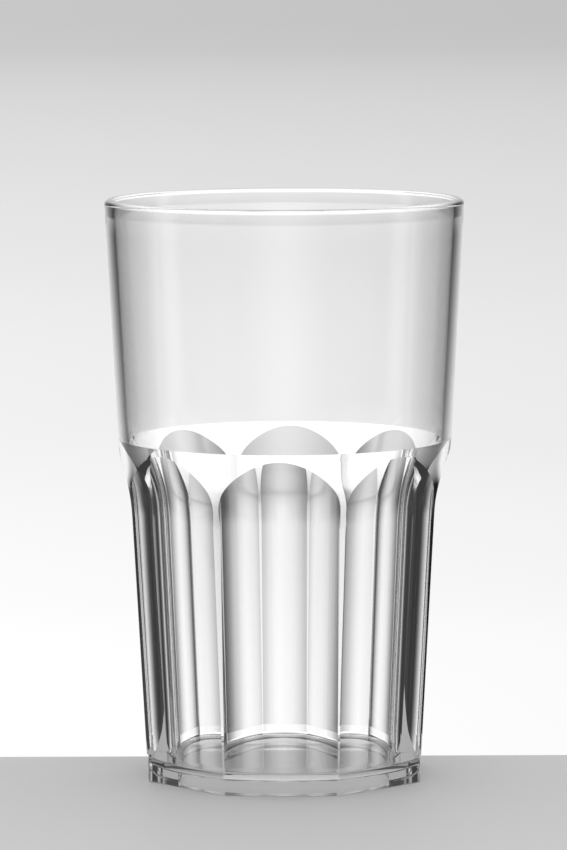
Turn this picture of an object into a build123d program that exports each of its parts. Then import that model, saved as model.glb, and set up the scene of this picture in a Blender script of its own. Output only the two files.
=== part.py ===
from build123d import *
import math
import os

os.makedirs("parts", exist_ok=True)

# All sizes are in millimetres and all angles in degrees.
# The origin is the middle of the underside, +Z points up and one facet faces -Y.

# Overall form
total_height = 129.0
rim_radius = 40.0
wall_draft = 3.06
upper_wall = 2.15
rim_band = 3.4
lip_round = 1.15
lip_inner_bevel = 0.5

# Facets round the lower body, each hollowed a little across its width
facet_count = 8
facet_depth = 3.35
facet_hollow_radius = 200.0
arch_top = 74.2
arch_slope = 21.0
arch_blend = 22.0

# Narrow lands left standing between the facets
land_drop = 0.55
land_blend_top = 68.5
land_blend_length = 10.0

# Eight-sided plinth, its corners set in a little from the lands above them
plinth_height = 6.2
plinth_set_in = 0.25
plinth_corner_round = 1.0
plinth_foot_bevel = 0.4

# Inside of the cup
floor_level = 4.4
floor_bevel = 0.6
facet_wall = 1.6
waist_top = 75.7
waist_slope = 17.5
waist_blend = 26.0

# Round recess in the underside, inside the foot that the glass stands on
foot_width = 4.85
recess_depth = 2.9

# Room that a cutting shape has outside the surface it cuts
clearance = 10.0

draft_slope = math.tan(math.radians(wall_draft))
draft_cosine = math.cos(math.radians(wall_draft))
up_the_wall = (draft_slope, 1)


def outer_radius(level):
    return rim_radius - (total_height - level) * draft_slope


def land_radius(level):
    return outer_radius(level) - land_drop


def upper_inner_radius(level):
    return outer_radius(level) - upper_wall


def lower_inner_radius(level):
    return outer_radius(level) - (facet_depth + facet_wall) / draft_cosine


# Round blank: the upper cone, and below it a cone set in by the land drop
land_blend_bottom = land_blend_top - land_blend_length
with BuildPart() as blank:
    with BuildSketch(Plane.XZ):
        with BuildLine():
            land_line = Line(
                (land_radius(plinth_height), plinth_height),
                (land_radius(land_blend_bottom), land_blend_bottom),
            )
            land_blend = Spline(
                land_line @ 1,
                (outer_radius(land_blend_top), land_blend_top),
                tangents=(up_the_wall, up_the_wall),
            )
            Polyline(
                land_blend @ 1,
                (rim_radius, total_height),
                (0, total_height),
                (0, plinth_height),
                land_line @ 0,
            )
        make_face()
        fillet(vertices().group_by(Axis.Y)[-1].sort_by(Axis.X)[-1], radius=lip_round)
    revolve(axis=Axis.Z)

# Cutter for one facet, drawn on the wall line with its origin at the top of the arch
slope_rise = facet_depth - arch_blend * (1 - math.cos(math.radians(arch_slope)))
facet_run = slope_rise / math.tan(math.radians(arch_slope)) + arch_blend * math.sin(
    math.radians(arch_slope)
)
facet_foot = -arch_top / draft_cosine
slope_reach = clearance / math.tan(math.radians(arch_slope))
wall_plane = Plane(
    origin=(0, -outer_radius(arch_top), arch_top),
    x_dir=(0, -draft_slope, 1),
    z_dir=(1, 0, 0),
)
hollow_axis = Axis(
    wall_plane.from_local_coords((0, facet_hollow_radius - facet_depth, 0)),
    wall_plane.x_dir,
)
with BuildPart() as facet_cutter:
    with BuildSketch(wall_plane):
        with BuildLine():
            facet_line = Line((facet_foot, -facet_depth), (-facet_run, -facet_depth))
            run_out = JernArc(
                start=facet_line @ 1,
                tangent=facet_line % 1,
                radius=arch_blend,
                arc_size=arch_slope,
            )
            Polyline(
                run_out @ 1,
                (slope_reach, clearance),
                (facet_foot, clearance),
                facet_line @ 0,
            )
        make_face()
    revolve(axis=hollow_axis)

# Cup inside: a straight band under the rim, an upper cone, a waist behind the arches and a lower cone
band_radius = upper_inner_radius(total_height - rim_band)
waist_depth = facet_depth + facet_wall - upper_wall * draft_cosine
waist_straight_depth = waist_depth - waist_blend * (1 - math.cos(math.radians(waist_slope)))
waist_straight = waist_straight_depth / math.sin(math.radians(waist_slope))
waist_heading = -90 - wall_draft - waist_slope
with BuildPart() as cup_inside:
    with BuildSketch(Plane.XZ):
        with BuildLine():
            upper_lines = Polyline(
                (0, total_height),
                (band_radius + lip_inner_bevel, total_height),
                (band_radius, total_height - lip_inner_bevel),
                (band_radius, total_height - rim_band),
                (upper_inner_radius(waist_top), waist_top),
            )
            waist_line = PolarLine(upper_lines @ 1, length=waist_straight, angle=waist_heading)
            waist_arc = JernArc(
                start=waist_line @ 1,
                tangent=waist_line % 1,
                radius=waist_blend,
                arc_size=waist_slope,
            )
            bevel_top = floor_level + floor_bevel
            Polyline(
                waist_arc @ 1,
                (lower_inner_radius(bevel_top), bevel_top),
                (lower_inner_radius(bevel_top) - floor_bevel, floor_level),
                (0, floor_level),
                (0, total_height),
            )
        make_face()
    revolve(axis=Axis.Z)

# The glass: blank, facets, plinth, inside, underside recess and bevelled foot
plinth_radius = land_radius(plinth_height) - plinth_set_in
plinth_half_width = plinth_radius * math.cos(math.pi / facet_count)
with BuildPart() as drinking_glass:
    add(blank.part)
    with PolarLocations(0, facet_count):
        add(facet_cutter.part, mode=Mode.SUBTRACT)
    with BuildSketch(Plane.XY):
        RegularPolygon(
            radius=plinth_radius,
            side_count=facet_count,
            rotation=180 / facet_count,
        )
        fillet(vertices(), radius=plinth_corner_round)
    extrude(amount=plinth_height)
    add(cup_inside.part, mode=Mode.SUBTRACT)
    with BuildSketch(Plane.XY):
        Circle(plinth_half_width - foot_width)
    extrude(amount=recess_depth, mode=Mode.SUBTRACT)
    chamfer(faces().sort_by(Axis.Z)[0].outer_wire().edges(), length=plinth_foot_bevel)
drinking_glass.part.label = "drinking_glass"
export_step(drinking_glass.part, "parts/drinking_glass.step")
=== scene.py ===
import math

import bmesh
import bpy
import numpy as np
from mathutils import Matrix, Vector


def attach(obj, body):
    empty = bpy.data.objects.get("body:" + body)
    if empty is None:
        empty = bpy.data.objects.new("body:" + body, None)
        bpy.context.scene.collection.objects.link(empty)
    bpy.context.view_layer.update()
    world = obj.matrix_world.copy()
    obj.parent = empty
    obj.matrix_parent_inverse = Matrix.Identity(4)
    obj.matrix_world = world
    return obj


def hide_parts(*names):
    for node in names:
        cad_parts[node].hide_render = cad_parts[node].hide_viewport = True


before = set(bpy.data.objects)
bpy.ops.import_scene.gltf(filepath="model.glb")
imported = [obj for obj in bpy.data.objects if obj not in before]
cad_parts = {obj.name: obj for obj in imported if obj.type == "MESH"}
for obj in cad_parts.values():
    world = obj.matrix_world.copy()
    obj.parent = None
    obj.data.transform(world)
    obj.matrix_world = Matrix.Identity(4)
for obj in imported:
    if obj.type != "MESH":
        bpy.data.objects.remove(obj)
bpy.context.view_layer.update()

NODE = "drinking_glass"
MM = 0.001
WHITE = (1, 1, 1, 1)

# The sizes of the glass in millimetres and degrees, as the CAD source has them
TOTAL_HEIGHT = 129.0
RIM_RADIUS = 40.0
WALL_DRAFT = 3.06
UPPER_WALL = 2.15
RIM_BAND = 3.4
LIP_ROUND = 1.15
LIP_INNER_ROUND = 0.5

FACET_COUNT = 8
FACET_DEPTH = 3.35
FACET_HOLLOW_RADIUS = 200.0
ARCH_TOP = 74.2
ARCH_SLOPE = 21.0
ARCH_BLEND = 22.0

LAND_DROP = 0.55
LAND_BLEND_TOP = 68.5
LAND_BLEND_LENGTH = 10.0

PLINTH_HEIGHT = 6.2
PLINTH_SET_IN = 0.25
PLINTH_CORNER_ROUND = 1.0
PLINTH_FOOT_ROUND = 0.4

FLOOR_LEVEL = 4.4
FLOOR_ROUND = 0.6
FACET_WALL = 1.6
WAIST_TOP = 75.7
WAIST_SLOPE = 17.5
WAIST_BLEND = 26.0

FOOT_WIDTH = 4.85
RECESS_DEPTH = 2.9
RECESS_ROUND = 0.3

# How finely the mesh is divided
FACET_COLUMNS = 16
LAND_COLUMNS = 32
ARCH_ROWS = 40
RUN_OUT_ROWS = 18
FACET_ROWS = 16
ROUND_STEPS = 16
BLEND_STEPS = 24
CONE_STEPS = 8
# Distance of the two rings that keep the lower edge of the band under the rim crisp
JOINT = 0.3
# Edges that turn by more than this are shaded as sharp
SHARP_ANGLE = 9.0
# Over how far to each side the bends of the facets and the waist ease into their straights
EASE = 2.2
EASE_STEPS = np.linspace(-1, 1, 9)
# Where the search for a facet's surface starts and how wide it is, and how often it is halved
SEARCH_BELOW = 3 * FACET_DEPTH
SEARCH_WIDTH = 10 * FACET_DEPTH
HALVINGS = 50
# Vertices nearer than the first and edges shorter than the second are merged away, in metres
SAME_PLACE = 1e-8
NO_LENGTH = 1e-9

SLOPE = math.tan(math.radians(WALL_DRAFT))
COSINE = math.cos(math.radians(WALL_DRAFT))
SINE = math.sin(math.radians(WALL_DRAFT))
SECTOR = 2 * math.pi / FACET_COUNT


def outer_radius(level):
    return RIM_RADIUS - (TOTAL_HEIGHT - level) * SLOPE


def upper_inner_radius(level):
    return outer_radius(level) - UPPER_WALL


def lower_inner_radius(level):
    return outer_radius(level) - (FACET_DEPTH + FACET_WALL) / COSINE


def smooth_step(share):
    share = np.clip(share, 0, 1)
    return share * share * (3 - 2 * share)


# The waist inside: straight down from its top at its slope, then an arc into the lower cone
WAIST_TURN = math.radians(WAIST_SLOPE)
WAIST_DEPTH = (FACET_DEPTH + FACET_WALL) - UPPER_WALL * COSINE
WAIST_LINE = (WAIST_DEPTH - WAIST_BLEND * (1 - math.cos(WAIST_TURN))) / math.tan(WAIST_TURN)
WAIST_LENGTH = WAIST_LINE + WAIST_BLEND * math.sin(WAIST_TURN)


def eased(depth_at, along):
    return np.mean([depth_at(along + EASE * step) for step in EASE_STEPS], axis=0)


def waist_depth_at(along):
    rest = np.clip(WAIST_LENGTH - along, 0, WAIST_LENGTH - WAIST_LINE)
    bend = WAIST_DEPTH - (WAIST_BLEND - np.sqrt(WAIST_BLEND**2 - rest**2))
    return np.where(along < WAIST_LINE, along * math.tan(WAIST_TURN), bend)


def waist_point(along):
    """Radius and level inside the waist at this distance down the wall from its top."""
    depth = eased(waist_depth_at, along)
    radius = upper_inner_radius(WAIST_TOP) - along * SINE - depth * COSINE
    return radius, WAIST_TOP - along * COSINE + depth * SINE


def blank_radius(level):
    """Radius of the round blank that the facets are cut into."""
    bottom = LAND_BLEND_TOP - LAND_BLEND_LENGTH
    share = smooth_step((level - bottom) / LAND_BLEND_LENGTH)
    return outer_radius(level) - LAND_DROP * (1 - share)


# The run-out of a facet in its own plane: distance along the wall from the arch top, and depth
# below the wall
TURN = math.radians(ARCH_SLOPE)
SLOPE_RISE = FACET_DEPTH - ARCH_BLEND * (1 - math.cos(TURN))
SLOPE_FOOT = -SLOPE_RISE / math.tan(TURN)
FACET_RUN = SLOPE_FOOT - ARCH_BLEND * math.sin(TURN)


def facet_depth_at(along):
    into = np.clip(along - FACET_RUN, 0, ARCH_BLEND * math.sin(TURN))
    bend = FACET_DEPTH - (ARCH_BLEND - np.sqrt(ARCH_BLEND**2 - into**2))
    return np.where(along > SLOPE_FOOT, -along * math.tan(TURN), bend)


def facet_miss(radius, angle, level):
    """How deep a point lies under the facet's surface. Its angle is from the facet's middle."""
    sideways = radius * np.sin(angle)
    outward = radius * np.cos(angle) - outer_radius(ARCH_TOP)
    upward = level - ARCH_TOP
    along = outward * SINE + upward * COSINE
    above = outward * COSINE - upward * SINE
    axis = FACET_HOLLOW_RADIUS - FACET_DEPTH
    return np.hypot(sideways, axis - above) - axis - eased(facet_depth_at, along)


def facet_radius(angle, level):
    low = np.full(np.broadcast(angle, level).shape, outer_radius(0) - SEARCH_BELOW)
    high = low + SEARCH_WIDTH
    for _ in range(HALVINGS):
        middle = (low + high) / 2
        inside = facet_miss(middle, angle, level) > 0
        low = np.where(inside, middle, low)
        high = np.where(inside, high, middle)
    return (low + high) / 2


def facet_half_angle(level):
    """Angle from a facet's middle to where it meets the blank."""
    low, high = 0.0, SECTOR / 2
    if facet_miss(blank_radius(level), 0.0, level) > 0:
        return 0.0
    for _ in range(HALVINGS):
        middle = (low + high) / 2
        if facet_miss(blank_radius(level), middle, level) < 0:
            low = middle
        else:
            high = middle
    return (low + high) / 2


def rounded(before, corner, after, radius, steps=ROUND_STEPS):
    """Points of an arc that rounds the corner between two straight runs."""
    before, corner, after = (np.array(p, float) for p in (before, corner, after))
    into = (before - corner) / np.linalg.norm(before - corner)
    out = (after - corner) / np.linalg.norm(after - corner)
    half = math.acos(np.clip(into @ out, -1, 1)) / 2
    middle = (into + out) / np.linalg.norm(into + out)
    centre = corner + middle * radius / math.sin(half)
    start = corner + into * radius / math.tan(half) - centre
    end = corner + out * radius / math.tan(half) - centre
    turn = math.atan2(start[0] * end[1] - start[1] * end[0], start @ end)
    angles = np.linspace(0, turn, steps + 1)
    return [
        (
            centre[0] + start[0] * math.cos(a) - start[1] * math.sin(a),
            centre[1] + start[0] * math.sin(a) + start[1] * math.cos(a),
        )
        for a in angles
    ]


def column_angles(half_angle):
    """Angles round one sector: the facet's columns, then those of the land beside it."""
    facet = np.linspace(-half_angle, half_angle, FACET_COLUMNS, endpoint=False)
    land = np.linspace(half_angle, SECTOR - half_angle, LAND_COLUMNS, endpoint=False)
    return np.concatenate([facet, land])


class Skin:
    """Rings of vertices, joined by faces into one closed skin."""

    def __init__(self):
        self.mesh = bmesh.new()

    def ring(self, angles, radii, levels):
        """One ring from the columns of a sector, repeated round the axis."""
        angles, radii, levels = np.broadcast_arrays(angles, radii, levels)
        made = []
        for sector in range(FACET_COUNT):
            turn = sector * SECTOR - math.pi / 2
            for a, r, z in zip(angles, radii, levels):
                point = (r * math.cos(a + turn) * MM, r * math.sin(a + turn) * MM, z * MM)
                made.append(self.mesh.verts.new(point))
        return made

    def join(self, lower, upper):
        count = len(lower)
        for i in range(count):
            j = (i + 1) % count
            self.mesh.faces.new((lower[i], lower[j], upper[j], upper[i]))

    def cap(self, ring, level, flip=False):
        middle = self.mesh.verts.new((0, 0, level * MM))
        count = len(ring)
        for i in range(count):
            j = (i + 1) % count
            corners = (ring[j], ring[i], middle) if flip else (ring[i], ring[j], middle)
            self.mesh.faces.new(corners)


def lower_rows():
    """Levels of the rings from the plinth's top to the arch tops."""
    arch_foot = LAND_BLEND_TOP - LAND_BLEND_LENGTH / 2
    run_foot = ARCH_TOP + (FACET_RUN - EASE) * COSINE
    arch_shares = np.arange(ARCH_ROWS, -1, -1) / ARCH_ROWS
    rows = list(np.linspace(PLINTH_HEIGHT, run_foot, FACET_ROWS, endpoint=False))
    rows += list(np.linspace(run_foot, arch_foot, RUN_OUT_ROWS, endpoint=False))
    rows += [ARCH_TOP - (ARCH_TOP - arch_foot) * share**2 for share in arch_shares]
    return rows


def plinth_apothem():
    land = outer_radius(PLINTH_HEIGHT) - LAND_DROP
    return (land - PLINTH_SET_IN) * math.cos(SECTOR / 2)


def plinth_outline(round_off):
    """Angles and radii of the plinth's outline on a sector's columns, moved in by round_off."""
    apothem = plinth_apothem() - round_off
    corner_round = PLINTH_CORNER_ROUND - round_off
    corner = SECTOR / 2
    flat_half = apothem * math.tan(corner) - corner_round * math.tan(corner)
    centre = (apothem - corner_round) / math.cos(corner)
    flat = np.linspace(-flat_half, flat_half, FACET_COLUMNS, endpoint=False)
    points = [(apothem, s) for s in flat]
    for k in range(LAND_COLUMNS):
        a = SECTOR * k / LAND_COLUMNS
        points.append(
            (
                centre * math.cos(corner) + corner_round * math.cos(a),
                centre * math.sin(corner) + corner_round * math.sin(a),
            )
        )
    points = np.array(points)
    return np.arctan2(points[:, 1], points[:, 0]), np.hypot(points[:, 0], points[:, 1])


def build_skin():
    skin = Skin()
    evenly = np.linspace(0, SECTOR, LAND_COLUMNS, endpoint=False)
    uniform = np.concatenate([np.zeros(FACET_COLUMNS), evenly])

    # Underside: the recess, its round, the foot and the plinth's sides
    angles, _ = plinth_outline(PLINTH_FOOT_ROUND)
    recess = plinth_apothem() - FOOT_WIDTH
    profile = [(recess / 2, RECESS_DEPTH)]
    profile += rounded((0, RECESS_DEPTH), (recess, RECESS_DEPTH), (recess, 0), RECESS_ROUND)
    profile.append((recess, 0))
    rings = [skin.ring(angles, r, z) for r, z in profile]
    skin.cap(rings[0], RECESS_DEPTH, flip=True)
    for step in range(ROUND_STEPS + 1):
        a = math.pi / 2 * step / ROUND_STEPS
        inset = PLINTH_FOOT_ROUND * (1 - math.sin(a))
        lift = PLINTH_FOOT_ROUND * (1 - math.cos(a))
        angles, radii = plinth_outline(inset)
        rings.append(skin.ring(angles, radii, lift))
    angles, radii = plinth_outline(0)
    rings.append(skin.ring(angles, radii, PLINTH_HEIGHT))

    # Facets and lands
    for level in lower_rows():
        half = facet_half_angle(level)
        angles = column_angles(half)
        is_facet = np.arange(len(angles)) < FACET_COLUMNS
        radii = np.where(is_facet, facet_radius(angles, level), blank_radius(level))
        radii[0] = blank_radius(level)
        radii[FACET_COLUMNS] = blank_radius(level)
        rings.append(skin.ring(angles, radii, level))

    # Upper wall, lip and inside, on evenly spaced columns: those of the facets have no width here
    top = TOTAL_HEIGHT
    band_radius = upper_inner_radius(top - RIM_BAND)
    lip_out = rounded((outer_radius(0), 0), (RIM_RADIUS, top), (0, top), LIP_ROUND)
    lip_in = rounded((RIM_RADIUS, top), (band_radius, top), (band_radius, 0), LIP_INNER_ROUND)
    cone_levels = np.linspace(ARCH_TOP, lip_out[0][1], CONE_STEPS + 1)[1:-1]
    profile = [(outer_radius(z), z) for z in cone_levels]
    profile += lip_out + lip_in
    profile += [(band_radius, top - RIM_BAND + JOINT), (band_radius, top - RIM_BAND)]
    cone_levels = np.linspace(top - RIM_BAND - JOINT, WAIST_TOP, CONE_STEPS + 1)[:-1]
    profile += [(upper_inner_radius(z), z) for z in cone_levels]
    profile.append(waist_point(0.0))
    bends = np.linspace(WAIST_LINE - EASE, WAIST_LENGTH + EASE, BLEND_STEPS + 1)
    profile += [waist_point(along) for along in bends]
    waist_bottom = profile[-1][1]
    floor_corner = (lower_inner_radius(FLOOR_LEVEL), FLOOR_LEVEL)
    floor_arc = rounded(
        (lower_inner_radius(top), top), floor_corner, (0, FLOOR_LEVEL), FLOOR_ROUND
    )
    cone_levels = np.linspace(waist_bottom, floor_arc[0][1], CONE_STEPS + 1)[1:-1]
    profile += [(lower_inner_radius(z), z) for z in cone_levels]
    profile += floor_arc
    profile.append((floor_corner[0] / 2, FLOOR_LEVEL))
    for r, z in profile:
        rings.append(skin.ring(uniform, r, z))
    for lower, upper in zip(rings, rings[1:]):
        skin.join(lower, upper)
    skin.cap(rings[-1], FLOOR_LEVEL)
    return skin.mesh


def make_glass():
    skin = build_skin()
    bmesh.ops.remove_doubles(skin, verts=skin.verts, dist=SAME_PLACE)
    bmesh.ops.dissolve_degenerate(skin, edges=skin.edges, dist=NO_LENGTH)
    mesh = bpy.data.meshes.new("clear_glass")
    skin.to_mesh(mesh)
    skin.free()
    mesh.shade_smooth()
    mesh.set_sharp_from_angle(angle=math.radians(SHARP_ANGLE))
    glass = bpy.data.objects.new("clear_glass", mesh)
    bpy.context.scene.collection.objects.link(glass)
    return glass


def node(tree, kind, inputs=(), **settings):
    """One node with its settings and inputs, each a value or another node's socket."""
    made = tree.nodes.new(kind)
    for name, value in settings.items():
        setattr(made, name, value)
    for name, value in dict(inputs).items():
        socket = made.inputs[name]
        if isinstance(value, bpy.types.NodeSocket):
            tree.links.new(value, socket)
        else:
            socket.default_value = value
    return made


def math_node(tree, operation, *values):
    return node(tree, "ShaderNodeMath", enumerate(values), operation=operation).outputs[0]


def smooth_range(tree, value, start, end):
    made = node(
        tree,
        "ShaderNodeMapRange",
        {"Value": value, "From Min": start, "From Max": end},
        interpolation_type="SMOOTHSTEP",
    )
    return made.outputs["Result"]


def spread(tree, value, limits, values):
    """From the first of two values at the first limit to the second value at the second limit."""
    made = node(
        tree,
        "ShaderNodeMapRange",
        {
            "Value": value,
            "From Min": limits[0],
            "From Max": limits[1],
            "To Min": values[0],
            "To Max": values[1],
        },
    )
    return made.outputs["Result"]


def blend(tree, first, second, share):
    """First value where the share is 0, second where it is 1."""
    change = math_node(tree, "SUBTRACT", second, first)
    return math_node(tree, "ADD", first, math_node(tree, "MULTIPLY", change, share))


def noise(tree, place, scale, detail):
    inputs = {"Vector": place, "Scale": scale, "Detail": detail}
    return node(tree, "ShaderNodeTexNoise", inputs).outputs[0]


def mix_shader(tree, first, second, share):
    """First shader where the share is 0, second where it is 1."""
    shaders = {0: share, 1: first.outputs[0], 2: second.outputs[0]}
    return node(tree, "ShaderNodeMixShader", shaders)


def seen_in_glass(tree, rays):
    """1 for the rays that the glass mirrors or lets through, 0 for others."""
    kinds = rays.outputs["Is Glossy Ray"], rays.outputs["Is Transmission Ray"]
    return math_node(tree, "MAXIMUM", *kinds)


# The plastic: flow waves left by moulding, wear of its polish, and a foot dulled by standing
WAVE_SCALE = (180, 180, 26)
WAVE_DETAIL = 2.0
WAVE_HEIGHT = 0.003 * MM
WEAR_SCALE = 55
WEAR_DETAIL = 6.0
WEAR_START, WEAR_FULL = 0.56, 0.78
WEAR_ROUGHNESS = 0.012
FOOT_DULL_TO = 0.12 * MM
FOOT_ROUGHNESS = 0.08
REFRACTION = 1.585
# How the plastic takes up light on long ways through it, per metre, by colour
TINT = (0.8, 0.804, 0.797, 1)
TINT_DENSITY = 52
# Light that has been turned back inside the walls more often than this is let straight out
MOST_TURNS = 3.5


def clear_plastic():
    material = bpy.data.materials.new("clear_plastic")
    material.use_nodes = True
    tree = material.node_tree
    shader = tree.nodes["Principled BSDF"]
    shader.inputs["Transmission Weight"].default_value = 1.0
    shader.inputs["IOR"].default_value = REFRACTION
    shader.inputs["Base Color"].default_value = WHITE
    place = node(tree, "ShaderNodeTexCoord").outputs["Object"]
    stretched = node(tree, "ShaderNodeMapping", {"Vector": place, "Scale": WAVE_SCALE})
    waves = noise(tree, stretched.outputs[0], 1.0, WAVE_DETAIL)
    bump = node(tree, "ShaderNodeBump", {"Height": waves, "Distance": WAVE_HEIGHT})
    tree.links.new(bump.outputs[0], shader.inputs["Normal"])
    patches = noise(tree, place, WEAR_SCALE, WEAR_DETAIL)
    wear = smooth_range(tree, patches, WEAR_START, WEAR_FULL)
    worn = math_node(tree, "MULTIPLY", wear, WEAR_ROUGHNESS)
    level = node(tree, "ShaderNodeSeparateXYZ", {"Vector": place}).outputs["Z"]
    foot = math_node(tree, "LESS_THAN", level, FOOT_DULL_TO)
    dull = math_node(tree, "MULTIPLY", foot, FOOT_ROUGHNESS)
    tree.links.new(math_node(tree, "MAXIMUM", worn, dull), shader.inputs["Roughness"])
    rays = node(tree, "ShaderNodeLightPath")
    let_out = math_node(tree, "GREATER_THAN", rays.outputs["Glossy Depth"], MOST_TURNS)
    straight = node(tree, "ShaderNodeBsdfTransparent")
    inside = mix_shader(tree, shader, straight, let_out)
    mixed = mix_shader(tree, shader, inside, rays.outputs["Is Glossy Ray"])
    output = tree.nodes["Material Output"]
    tree.links.new(mixed.outputs[0], output.inputs["Surface"])
    tint = node(tree, "ShaderNodeVolumeAbsorption", {"Color": TINT, "Density": TINT_DENSITY})
    tree.links.new(tint.outputs[0], output.inputs["Volume"])
    return material


glass = make_glass()
glass.data.materials.append(clear_plastic())
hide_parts(NODE)
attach(glass, "root")

# Camera of the photograph: its place, its turn round the glass, and its tilt and roll
IMAGE_HEIGHT = 850
FOCAL_PIXELS = 5281
SENSOR = 36.0
CAMERA_PLACE = (-0.30, -1170.0, 204.5)
CAMERA_TURN = 2.09
CAMERA_PITCH = 6.15
CAMERA_ROLL = 0.189
CLIP_NEAR, CLIP_FAR = 0.01, 100

camera_data = bpy.data.cameras.new("camera")
camera_data.sensor_width = SENSOR
camera_data.lens = FOCAL_PIXELS * SENSOR / IMAGE_HEIGHT
camera_data.clip_start = CLIP_NEAR
camera_data.clip_end = CLIP_FAR
camera = bpy.data.objects.new("camera", camera_data)
bpy.context.scene.collection.objects.link(camera)
turn = Matrix.Rotation(math.radians(CAMERA_TURN), 4, "Z")
tilt = Matrix.Rotation(math.radians(90 - CAMERA_PITCH), 4, "X")
roll = Matrix.Rotation(math.radians(-CAMERA_ROLL), 4, "Z")
camera.matrix_world = turn @ Matrix.Translation(Vector(CAMERA_PLACE) * MM) @ tilt @ roll
bpy.context.scene.camera = camera

# Table top that the glass stands on: its back edge is where the photograph shows it, seen through
# the foot of the glass
TABLE_EDGE = 22 * MM
TABLE_REACH = 3.0
# A hair of air under the foot, so that light inside it is turned back there as in the real one
TABLE_GAP = 0.02 * MM
TABLE_COLOUR = (0.65, 0.65, 0.65, 1)
TABLE_ROUGHNESS = 0.6
# Strength of the painted light that the table glows with where the glass shows it
TABLE_PAINTED_LIGHT = 0.45

table_mesh = bpy.data.meshes.new("floor")
corners = [
    (-TABLE_REACH, -TABLE_REACH, 0),
    (TABLE_REACH, -TABLE_REACH, 0),
    (TABLE_REACH, TABLE_EDGE, 0),
    (-TABLE_REACH, TABLE_EDGE, 0),
]
table_mesh.from_pydata(corners, [], [(0, 1, 2, 3)])
table = bpy.data.objects.new("floor", table_mesh)
bpy.context.scene.collection.objects.link(table)
table.matrix_world = turn @ Matrix.Translation((0, 0, -TABLE_GAP))
# Through the glass the table glows with painted light, as evenly bright as it is round about,
# though little light gets under it
table_material = bpy.data.materials.new("floor")
table_material.use_nodes = True
tree = table_material.node_tree
shader = tree.nodes["Principled BSDF"]
shader.inputs["Base Color"].default_value = TABLE_COLOUR
shader.inputs["Roughness"].default_value = TABLE_ROUGHNESS
even = {"Color": WHITE, "Strength": TABLE_PAINTED_LIGHT}
painted_table_glow = node(tree, "ShaderNodeEmission", even)
rays = node(tree, "ShaderNodeLightPath")
mixed = mix_shader(tree, shader, painted_table_glow, seen_in_glass(tree, rays))
tree.links.new(mixed.outputs[0], tree.nodes["Material Output"].inputs["Surface"])
table_mesh.materials.append(table_material)

# Backdrop: how bright the surroundings are by height above the horizon in degrees
BACKDROP = (
    (-10.0, 1.0),
    (-8.9, 0.99),
    (-7.9, 0.945),
    (-7.0, 0.91),
    (-6.2, 0.865),
    (-5.3, 0.845),
    (-4.5, 0.8),
    (-3.6, 0.75),
    (-2.9, 0.7),
    (-2.4, 0.65),
    (-1.6, 0.56),
    (-0.8, 0.68),
    (2.0, 0.68),
    (5.0, 0.56),
    (15.0, 0.56),
    (60.0, 0.4),
)
# The backdrop is a little brighter on the left than on the right, between two turns in degrees.
# This fades out further aside
TILT_TURNS = (-3.5, 3.5)
TILT_CHANGE = (0.03, -0.03)
TILT_FADE = (3.5, 40.0)
# Under these heights the surroundings are less bright, for looks from high up
DEEP_HEIGHTS = (-33.0, -50.0)
DEEP_BRIGHTNESS = (1.0, 0.66)
DEEP_GAIN = (1.0, 0.78)
# How much brighter than the camera sees it the backdrop is for rays through the glass, at two
# heights, to make up for what its walls turn back
GAIN_HEIGHTS = (-7.5, -5.5)
GLASS_GAIN = (1.14, 1.18)
# Low down, where the light of the backdrop is, it is brighter still, and dark only further aside
GLOW_HEIGHTS = (-10.5, -15.0)
GLOW_GAIN = 0.2
GLOW_START = 22.0
# Darkness at both sides of the backdrop, by turn from the view direction in degrees: where it
# starts and is full at the lower and at the upper of two heights, and how bright it is there
DARK_HEIGHTS = (-8.0, -5.5)
DARK_START = (4.0, 0.0)
DARK_FULL = (46.0, 38.0)
DARK_BRIGHTNESS = (0.012, 0.04)
# Far down the dark sides get lighter again, by light from the table
LOW_HEIGHTS = (-20.0, -40.0)
LOW_BRIGHTNESS = 0.6
# Straight to the sides and behind the camera the room is as bright as the backdrop for rays that
# come out of the glass, and dark for those that it mirrors
SIDE_START = 76.0
SIDE_FULL = 88.0
ROOM_START = 70.0
ROOM_FULL = 95.0
ROOM_BRIGHTNESS = 0.05
HALF_TURN = 180.0

world = bpy.data.worlds.new("studio")
bpy.context.scene.world = world
world.use_nodes = True
tree = world.node_tree
plain = tree.nodes["Background"]
plain.inputs["Color"].default_value = WHITE
direction = node(tree, "ShaderNodeTexCoord").outputs["Generated"]
split = node(tree, "ShaderNodeSeparateXYZ", {"Vector": direction})
# Turn of a direction from the camera's, with its side and without, and its height
sideways = math_node(tree, "ARCTAN2", split.outputs["X"], split.outputs["Y"])
sideways = math_node(tree, "ADD", math_node(tree, "DEGREES", sideways), CAMERA_TURN)
turned = math_node(tree, "ABSOLUTE", sideways)
height = math_node(tree, "DEGREES", math_node(tree, "ARCSINE", split.outputs["Z"]))

# The curve through the heights of the backdrop: a new curve has its first two points already
lowest, highest = BACKDROP[0][0], BACKDROP[-1][0]
ramp = node(tree, "ShaderNodeFloatCurve")
curve = ramp.mapping.curves[0]
CURVE_POINTS = len(curve.points)
for i, (level, brightness) in enumerate(BACKDROP):
    share = (level - lowest) / (highest - lowest)
    if i < CURVE_POINTS:
        curve.points[i].location = (share, brightness)
    else:
        curve.points.new(share, brightness)
ramp.mapping.update()
along_curve = spread(tree, height, (lowest, highest), (0.0, 1.0))
tree.links.new(along_curve, ramp.inputs["Value"])

# The backdrop as the camera sees it
fade = spread(tree, turned, TILT_FADE, (1.0, 0.0))
tilt = math_node(tree, "MULTIPLY", spread(tree, sideways, TILT_TURNS, TILT_CHANGE), fade)
backdrop = math_node(tree, "MULTIPLY", ramp.outputs[0], math_node(tree, "ADD", tilt, 1.0))
deep = spread(tree, height, DEEP_HEIGHTS, DEEP_BRIGHTNESS)
backdrop = math_node(tree, "MULTIPLY", backdrop, deep)

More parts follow.
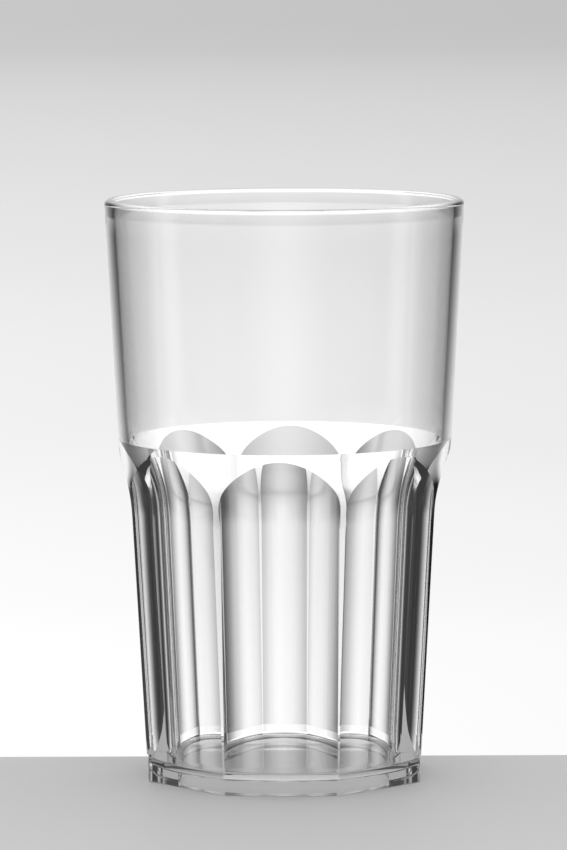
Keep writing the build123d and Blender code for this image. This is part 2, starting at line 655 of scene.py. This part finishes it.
# The surroundings as the glass shows them: a brighter backdrop with its dark sides, and the room
rays = node(tree, "ShaderNodeLightPath")
gain = spread(tree, height, GAIN_HEIGHTS, GLASS_GAIN)
gain = math_node(tree, "ADD", gain, spread(tree, height, GLOW_HEIGHTS, (0.0, GLOW_GAIN)))
gain = math_node(tree, "MULTIPLY", gain, spread(tree, height, DEEP_HEIGHTS, DEEP_GAIN))
bright = math_node(tree, "MULTIPLY", backdrop, gain)
glow_start = spread(tree, height, GLOW_HEIGHTS, (0.0, GLOW_START))
dark_start = math_node(tree, "ADD", spread(tree, height, DARK_HEIGHTS, DARK_START), glow_start)
dark_full = spread(tree, height, DARK_HEIGHTS, DARK_FULL)
darkness = spread(tree, height, DARK_HEIGHTS, DARK_BRIGHTNESS)
low_brightness = spread(tree, height, LOW_HEIGHTS, (0.0, LOW_BRIGHTNESS))
darkness = math_node(tree, "MAXIMUM", darkness, low_brightness)
folded = math_node(tree, "MINIMUM", turned, math_node(tree, "SUBTRACT", HALF_TURN, turned))
shown = blend(tree, bright, darkness, smooth_range(tree, folded, dark_start, dark_full))
shown = blend(tree, shown, bright, smooth_range(tree, folded, SIDE_START, SIDE_FULL))
room = smooth_range(tree, turned, ROOM_START, ROOM_FULL)
room = math_node(tree, "MULTIPLY", room, rays.outputs["Is Reflection Ray"])
shown = blend(tree, shown, ROOM_BRIGHTNESS, room)

# Rays seen directly or in the glass get these, and a plain white light falls on the table
through_glass = seen_in_glass(tree, rays)
brightness = blend(tree, backdrop, shown, through_glass)
surround = node(tree, "ShaderNodeBackground", {"Color": WHITE, "Strength": brightness})
lighting = math_node(tree, "MINIMUM", rays.outputs["Diffuse Depth"], 1.0)
looked_at = math_node(tree, "MAXIMUM", rays.outputs["Is Camera Ray"], through_glass)
looked_at = math_node(tree, "SUBTRACT", looked_at, lighting)
mixed = mix_shader(tree, plain, surround, looked_at)
tree.links.new(mixed.outputs[0], tree.nodes["World Output"].inputs["Surface"])

bpy.context.scene.view_settings.view_transform = "Standard"
